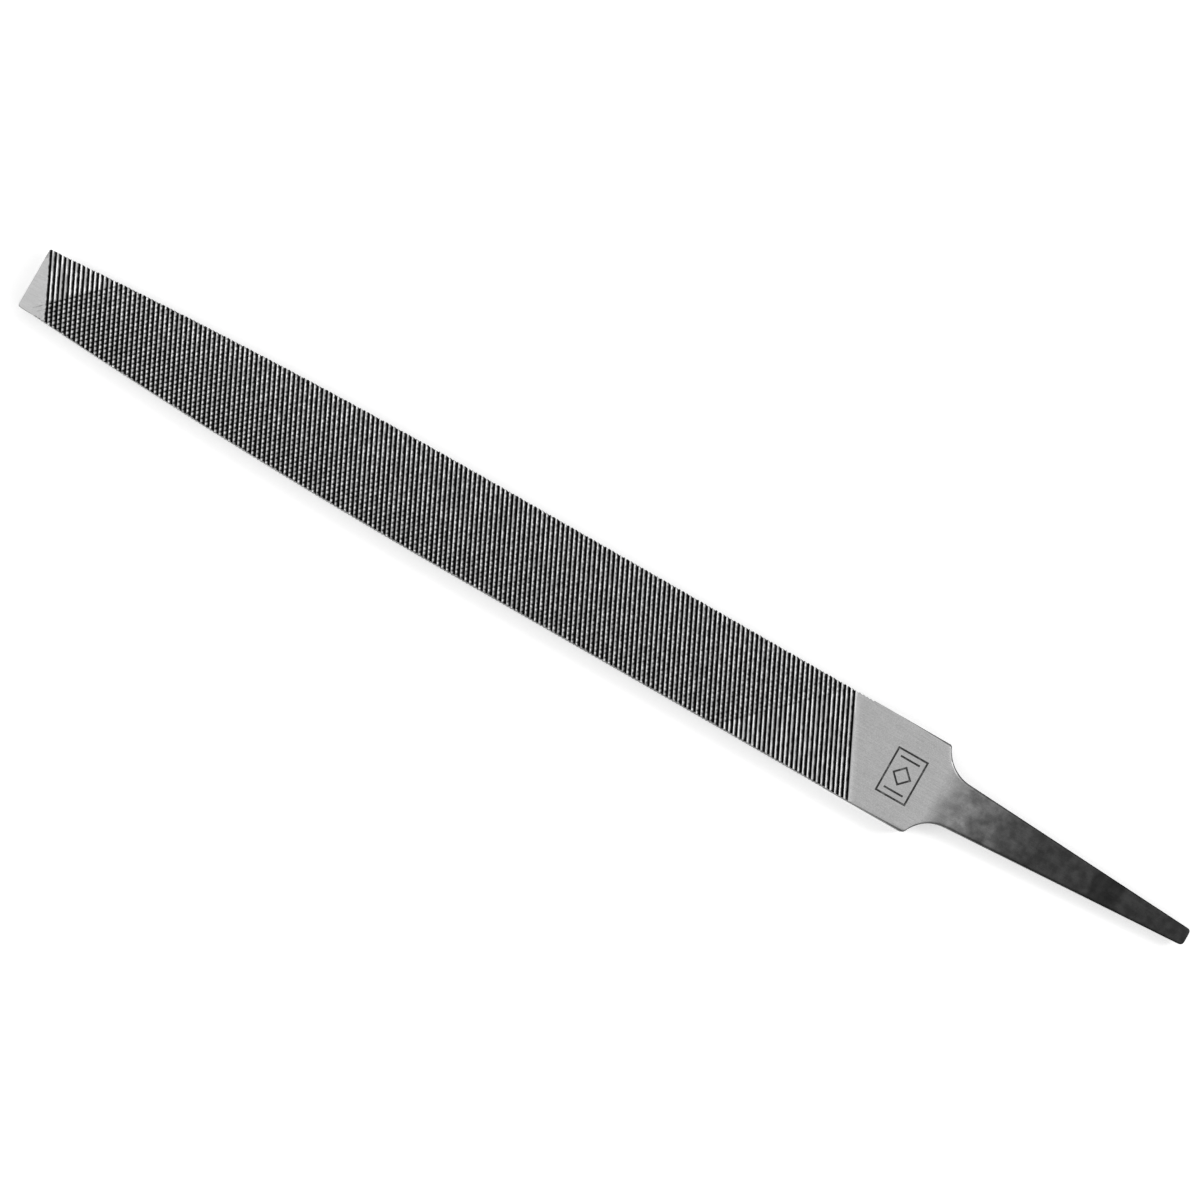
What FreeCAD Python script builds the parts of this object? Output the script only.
import FreeCAD, Part
import math
import os

import Sketcher

# A flat file: one bar of forged steel with a parallel body that narrows and thins to a blunt point,
# a plain heel, and a tapered tang for a handle. Chiselled rows of teeth lean back across both broad
# faces, and finer rows cross both edges.
#
# The model is drawn about the middle of the shoulders: +X runs to the point, +Y across the width and
# +Z through the thickness. Placed last, the file lies on a broad face with Z = 0 under its tooth tips
# and the origin half way along it.

# Driving dimensions: name, value in millimetres or degrees, meaning.
SIZES = [
    ("body_length", "254", "shoulders to point"),
    ("body_width", "24.8", "over the parallel edges"),
    ("body_thickness", "6.35", "over the tooth tips of the parallel part"),
    ("taper_length", "124", "the stretch that narrows and thins, back from the point"),
    ("point_width", "15.9", "width at the point"),
    ("point_thickness", "3.4", "thickness at the point"),
    ("point_corner_radius", "0.5", "rounding of the point's two corners"),
    ("shoulder_radius", "10", "hollow curve from a shoulder into the tang"),
    ("shoulder_corner_radius", "1", "rounding of each shoulder's corner"),
    ("tang_length", "74.5", "shoulders to the tang's tip"),
    ("tang_root_width", "13.1", "tang's sides carried on to the shoulders"),
    ("tang_tip_width", "4.4", "width of the tang's tip"),
    ("tang_tip_thickness", "2.3", "thickness of the tang's tip"),
    ("tang_tip_radius", "0.9", "rounding of the tang's two tip corners"),
    ("plain_point", "4.4", "point to the first row of teeth, on the centre line"),
    ("plain_heel", "20.8", "last row of teeth to the shoulders, on the centre line"),
    ("heel_drop", "0.1", "how far the plain heel lies below the tooth tips"),
    ("face_row_angle", "64.4", "rows across a face, from the file's length"),
    ("face_pitch", "1.187", "from row to row on a face, square to the rows"),
    ("face_depth", "0.42", "depth of the rows on a face"),
    ("edge_row_angle", "72", "rows across an edge, from the file's length"),
    ("edge_pitch", "1.0", "from row to row on an edge, square to the rows"),
    ("edge_depth", "0.28", "depth of the rows on an edge"),
    ("tooth_land", "0.08", "flat left on each tooth tip"),
    ("tooth_lean", "12", "lean of a tooth's front from upright, away from the point"),
]
CLEAR = 1.0  # how far a cutter runs past the metal
LIFT = 0.015  # how far a row's slopes run on above the surface, so that they always cross it cleanly
NODE = "file_body"

# Sketcher's own numbers: the ends of a curve, and the sketch's two axes.
START, END = 1, 2
X_AXIS, Y_AXIS = -1, -2
ORIGIN = (X_AXIS, START)


def make_sheet(doc):
    """Writes the driving dimensions into a spreadsheet, one aliased cell each."""
    sheet = doc.addObject("Spreadsheet::Sheet", "sheet")
    for row, (name, value, meaning) in enumerate(SIZES, start=1):
        sheet.set(f"A{row}", name)
        sheet.set(f"B{row}", value)
        sheet.set(f"C{row}", meaning)
        sheet.setAlias(f"B{row}", name)
    doc.recompute()
    return sheet


def origin_plane(body, role):
    """Finds one of a body's own origin planes."""
    return next(plane for plane in body.Origin.OriginFeatures if plane.Role == role)


def taper_radius(full, end, length):
    """Radius of the arc that leaves a straight side square-on and drops from full to end."""
    drop = full - end
    return (length**2 + drop**2) / (2 * drop)


def arc_between(centre, radius, first, last):
    """An arc about a centre, counter-clockwise between the directions of two points."""
    angles = [math.atan2(spot.y - centre.y, spot.x - centre.x) for spot in (first, last)]
    circle = Part.Circle(centre, FreeCAD.Vector(0, 0, 1), radius)
    return Part.ArcOfCircle(circle, *angles)


def body_side(size, full, end):
    """Draws half of the body's outline: across the point, along the taper, back to the shoulder."""
    straight = size.body_length - size.taper_length
    radius = taper_radius(full, end, size.taper_length)
    centre = FreeCAD.Vector(straight, full - radius)
    corner = FreeCAD.Vector(size.body_length, end)
    side_start = FreeCAD.Vector(straight, full)
    across = Part.LineSegment(FreeCAD.Vector(size.body_length, 0), corner)
    taper = arc_between(centre, radius, corner, side_start)
    side = Part.LineSegment(side_start, FreeCAD.Vector(0, full))
    return [across, taper, side]


def tang_side(size, start, tip):
    """Draws half of the tang's outline: along its side, across its tip and back along the middle."""
    tip_corner = FreeCAD.Vector(-size.tang_length, tip)
    tip_middle = FreeCAD.Vector(-size.tang_length, 0)
    side = Part.LineSegment(start, tip_corner)
    across = Part.LineSegment(tip_corner, tip_middle)
    middle = Part.LineSegment(tip_middle, FreeCAD.Vector(size.body_length, 0))
    return [side, across, middle]


def shoulder_arc(size):
    """Draws the hollow curve from a shoulder's corner to where it runs smoothly into the tang's side."""
    half_width = size.body_width / 2
    half_root = size.tang_root_width / 2
    slope = math.atan((size.tang_root_width - size.tang_tip_width) / 2 / size.tang_length)
    step = half_width - half_root
    above = step * math.cos(slope)
    back = math.sqrt(2 * size.shoulder_radius * above - above**2) - step * math.sin(slope)
    along = FreeCAD.Vector(-math.cos(slope), -math.sin(slope))
    outward = FreeCAD.Vector(-math.sin(slope), math.cos(slope))
    meets_tang = FreeCAD.Vector(0, half_root) + along * back
    centre = meets_tang + outward * size.shoulder_radius
    corner = FreeCAD.Vector(0, half_width)
    return arc_between(centre, size.shoulder_radius, meets_tang, corner), meets_tang


def join(sketch, first, second, smooth=False):
    """Joins two (curve, end) pairs of a sketch, tangent where the outline has no corner."""
    kind = "Tangent" if smooth else "Coincident"
    sketch.addConstraint(Sketcher.Constraint(kind, *first, *second))


def drive(sketch, name, constraint, expression):
    """Adds a dimension and ties it to the spreadsheet."""
    index = sketch.addConstraint(constraint)
    sketch.renameConstraint(index, name)
    sketch.setExpression(f"Constraints.{name}", expression)


def along_x(sketch, name, expression, first, second):
    """Drives the distance between two (curve, end) pairs along the file."""
    gap = sketch.getPoint(*second).x - sketch.getPoint(*first).x
    drive(sketch, name, Sketcher.Constraint("DistanceX", *first, *second, gap), expression)


def from_middle(sketch, name, expression, spot):
    """Drives how far a (curve, end) pair stands from the file's centre line."""
    height = sketch.getPoint(*spot).y
    drive(sketch, name, Sketcher.Constraint("DistanceY", *ORIGIN, *spot, height), expression)


def constrain_ends(sketch, side, full, end, tip):
    """Ties down what the plan and the side view share, given the tang side's number in the sketch."""
    across_point, taper, body_line = 0, 1, 2
    tip_line, middle = side + 1, side + 2
    join(sketch, (across_point, END), (taper, START))
    join(sketch, (taper, END), (body_line, START), smooth=True)
    join(sketch, (side, END), (tip_line, START))
    join(sketch, (tip_line, END), (middle, START))
    join(sketch, (middle, END), (across_point, START))
    for upright in (across_point, tip_line):
        sketch.addConstraint(Sketcher.Constraint("Vertical", upright))
    for level in (body_line, middle):
        sketch.addConstraint(Sketcher.Constraint("Horizontal", level))
    sketch.addConstraint(Sketcher.Constraint("PointOnObject", across_point, START, X_AXIS))
    sketch.addConstraint(Sketcher.Constraint("PointOnObject", body_line, END, Y_AXIS))
    along_x(sketch, "body_length", "sheet.body_length", ORIGIN, (across_point, START))
    along_x(sketch, "tang_length", "sheet.tang_length", (tip_line, END), ORIGIN)
    along_x(sketch, "taper_length", "sheet.taper_length", (body_line, START), (across_point, START))
    from_middle(sketch, "full", full, (body_line, END))
    from_middle(sketch, "at_point", end, (across_point, END))
    from_middle(sketch, "at_tip", tip, (side, END))


def pad_both_ways(body, sketch, depth, mirror_role):
    """Pads a half outline evenly to both sides of its sketch, then mirrors it whole."""
    pad = body.newObject("PartDesign::Pad", f"{body.Name}_pad")
    pad.Profile = sketch
    pad.SideType = "Symmetric"
    pad.setExpression("Length", depth)
    mirrored = body.newObject("PartDesign::Mirrored", f"{body.Name}_whole")
    mirrored.Originals = [pad]
    mirrored.MirrorPlane = (origin_plane(body, mirror_role), [""])
    body.Tip = mirrored
    return mirrored


def new_sketch(doc, name, plane_role):
    """Starts a body with an empty sketch on one of its own origin planes."""
    body = doc.addObject("PartDesign::Body", name)
    sketch = body.newObject("Sketcher::SketchObject", f"{name}_sketch")
    sketch.AttachmentSupport = [(origin_plane(body, plane_role), "")]
    sketch.MapMode = "FlatFace"
    doc.recompute()
    return body, sketch


def make_plan(doc, size):
    """The file's outline as seen on its broad face, as a slab thicker than the file."""
    body, sketch = new_sketch(doc, "plan", "XY_Plane")
    curve, meets_tang = shoulder_arc(size)
    outline = body_side(size, size.body_width / 2, size.point_width / 2)
    outline += [curve] + tang_side(size, meets_tang, size.tang_tip_width / 2)
    sketch.addGeometry(outline)
    body_line, shoulder, side = 2, 3, 4
    constrain_ends(
        sketch,
        side,
        "sheet.body_width / 2",
        "sheet.point_width / 2",
        "sheet.tang_tip_width / 2",
    )
    join(sketch, (body_line, END), (shoulder, END))
    join(sketch, (shoulder, START), (side, START), smooth=True)
    radius = Sketcher.Constraint("Radius", shoulder, size.shoulder_radius)
    drive(sketch, "shoulder_radius", radius, "sheet.shoulder_radius")
    rise = (size.tang_root_width - size.tang_tip_width) / 2
    lean = Sketcher.Constraint("Angle", side, -math.pi + math.atan(rise / size.tang_length))
    slope = "atan((sheet.tang_root_width - sheet.tang_tip_width) / 2 / sheet.tang_length) - 180deg"
    drive(sketch, "tang_slope", lean, slope)
    whole = pad_both_ways(body, sketch, "2 * sheet.body_thickness", "XZ_Plane")
    doc.recompute()
    base = whole
    corners = [
        ("shoulder_corner", 0, "sheet.shoulder_corner_radius"),
        ("tip_corner", -size.tang_length, "sheet.tang_tip_radius"),
        ("point_corner", size.body_length, "sheet.point_corner_radius"),
    ]
    for name, x, radius in corners:
        base = round_corners(body, base, name, x, radius)
        doc.recompute()
    return body


def round_corners(body, base, name, x, radius):
    """Rounds the upright edges of a body that stand at one place along it."""
    near = 1e-6
    edges = [
        f"Edge{number}"
        for number, edge in enumerate(base.Shape.Edges, start=1)
        if all(abs(vertex.X - x) < near for vertex in edge.Vertexes)
        and edge.BoundBox.ZLength > near
        and edge.BoundBox.YLength < near
    ]
    fillet = body.newObject("PartDesign::Fillet", name)
    fillet.Base = (base, edges)
    fillet.setExpression("Radius", radius)
    body.Tip = fillet
    return fillet


def make_side_view(doc, size):
    """The file's outline as seen on its edge, as a slab wider than the file."""
    body, sketch = new_sketch(doc, "side_view", "XZ_Plane")
    shoulder = FreeCAD.Vector(0, size.body_thickness / 2)
    outline = body_side(size, size.body_thickness / 2, size.point_thickness / 2)
    outline += tang_side(size, shoulder, size.tang_tip_thickness / 2)
    sketch.addGeometry(outline)
    body_line, side = 2, 3
    constrain_ends(
        sketch,
        side,
        "sheet.body_thickness / 2",
        "sheet.point_thickness / 2",
        "sheet.tang_tip_thickness / 2",
    )
    join(sketch, (body_line, END), (side, START))
    pad_both_ways(body, sketch, "2 * sheet.body_width", "XY_Plane")
    doc.recompute()
    return body


def half_at(x, size, full, end):
    """Half width or half thickness of the body at a place along it, and how fast it changes there."""
    past = max(0.0, x - (size.body_length - size.taper_length))
    radius = taper_radius(full, end, size.taper_length)
    level = math.sqrt(radius**2 - past**2)
    return full - radius + level, -past / level


def tooth_section(size, pitch, depth):
    """A row's cross-section: a steep front on the heel's side, a long back on the point's side."""
    front = depth * math.tan(math.radians(size.tooth_lean))
    back = pitch - size.tooth_land - front
    grow = (depth + LIFT) / depth
    front_top = (-front * grow, LIFT)
    back_top = (back * grow, LIFT)
    return [(-front * grow, CLEAR), front_top, (0, -depth), back_top, (back * grow, CLEAR)]


def row_cutter(at, slope, angle, lie, out, reach, section):
    """One row's cutter: the section swept both ways along the row, tilted with the surface."""
    forward = FreeCAD.Vector(1, 0, slope) if out.z else FreeCAD.Vector(1, slope, 0)
    along = lie * math.sin(angle) - forward * math.cos(angle)
    across = forward * math.sin(angle) + lie * math.cos(angle)
    start = at - along * reach
    corners = [start + across * run + out * rise for run, rise in section]
    return Part.Face(Part.makePolygon(corners + corners[:1])).extrude(along * 2 * reach)


def make_rows(doc, name, size, lie, out, half_sizes, reach, angle, pitch, depth):
    """Cutters for the rows on one side of the file, from the point on, and where the last one lies."""
    lean = math.radians(angle)
    spacing = pitch / math.sin(lean)
    count = int((size.body_length - size.plain_point - size.plain_heel) / spacing) + 1
    section = tooth_section(size, pitch, depth)
    cutters = []
    for number in range(count):
        x = size.body_length - size.plain_point - number * spacing
        level, slope = half_at(x, size, *half_sizes)
        at = FreeCAD.Vector(x, 0, 0) + out * level
        cutters.append(row_cutter(at, slope, lean, lie, out, reach / math.sin(lean), section))
    rows = doc.addObject("Part::Feature", name)
    rows.Shape = Part.makeCompound(cutters)
    last = size.body_length - size.plain_point - (count - 1) * spacing
    return rows, last


def turned(doc, name, parts):
    """The same cutters turned half round the file's length, for the opposite side."""
    copy = doc.addObject("Part::Compound", name)
    copy.Links = parts
    copy.Placement = FreeCAD.Placement(FreeCAD.Vector(), FreeCAD.Rotation(FreeCAD.Vector(1, 0, 0), 180))
    return copy


def face_rows(doc, size):
    """Cutters for the rows across the upper face, and where the last of them lies."""
    across = FreeCAD.Vector(0, 1, 0)
    up = FreeCAD.Vector(0, 0, 1)
    heights = (size.body_thickness / 2, size.point_thickness / 2)
    reach = size.body_width / 2 + CLEAR
    cut = (size.face_row_angle, size.face_pitch, size.face_depth)
    return make_rows(doc, "face_rows", size, across, up, heights, reach, *cut)


def edge_rows(doc, size):
    """Cutters for the rows across one edge, and where the last of them lies."""
    up = FreeCAD.Vector(0, 0, 1)
    sideways = FreeCAD.Vector(0, 1, 0)
    widths = (size.body_width / 2, size.point_width / 2)
    reach = size.body_thickness / 2 + CLEAR
    cut = (size.edge_row_angle, size.edge_pitch, size.edge_depth)
    return make_rows(doc, "edge_rows", size, up, sideways, widths, reach, *cut)


def heel_slab(doc, size, last_row):
    """A slab over the heel and tang that ends at the last row's tooth tip, a little below the tips."""
    lean = math.radians(size.face_row_angle)
    tip = size.face_depth * math.tan(math.radians(size.tooth_lean)) + size.tooth_land
    edge = last_row - tip / math.sin(lean)
    slab = doc.addObject("Part::Box", "heel_slab")
    slab.setExpression("Length", "sheet.body_length")
    slab.setExpression("Width", "2 * sheet.body_length")
    slab.setExpression("Height", "sheet.body_thickness")
    turn = FreeCAD.Rotation(FreeCAD.Vector(0, 0, 1), 90 - size.face_row_angle)
    corner = turn.multVec(FreeCAD.Vector(-size.body_length, -size.body_length, 0))
    floor = size.body_thickness / 2 - size.heel_drop
    slab.Placement = FreeCAD.Placement(corner + FreeCAD.Vector(edge, 0, floor), turn)
    return slab


def cut_away(doc, name, base, cutter):
    """Takes a cutter out of the metal."""
    cut = doc.addObject("Part::Cut", name)
    cut.Base = base
    cut.Tool = cutter
    return cut


def check(doc, piece):
    """Stops if any step failed or the finished piece isn't one sound solid."""
    failed = [item.Label for item in doc.Objects if {"Invalid", "Error"} & set(item.State)]
    if failed:
        raise RuntimeError(f"failed steps: {failed}")
    shape = piece.Shape
    if shape.isNull() or not shape.isValid() or len(shape.Solids) != 1:
        raise RuntimeError(f"{piece.Label} isn't one sound solid")


def main():
    doc = FreeCAD.newDocument("flat_file")
    size = make_sheet(doc)
    blank = doc.addObject("Part::Common", "blank")
    blank.Base = make_plan(doc, size)
    blank.Tool = make_side_view(doc, size)
    rows, last_row = face_rows(doc, size)
    slab = heel_slab(doc, size, last_row)
    left_rows, _ = edge_rows(doc, size)
    upper = doc.addObject("Part::Compound", "upper_cutters")
    upper.Links = [rows, slab]
    lower = turned(doc, "lower_cutters", [rows, slab])
    right_rows = turned(doc, "right_rows", [left_rows])
    upper_cut = cut_away(doc, "upper_face_cut", blank, upper)
    faces_cut = cut_away(doc, "both_faces_cut", upper_cut, lower)
    left_cut = cut_away(doc, "left_edge_cut", faces_cut, left_rows)
    file_body = cut_away(doc, NODE, left_cut, right_rows)
    file_body.setExpression("Placement.Base.x", "(sheet.tang_length - sheet.body_length) / 2")
    file_body.setExpression("Placement.Base.z", "sheet.body_thickness / 2")
    doc.recompute()
    check(doc, file_body)
    os.makedirs("parts", exist_ok=True)
    file_body.Shape.exportStep(f"parts/{NODE}.step")
    print(NODE, file_body.Shape.BoundBox, round(file_body.Shape.Volume), "mm3")


main()
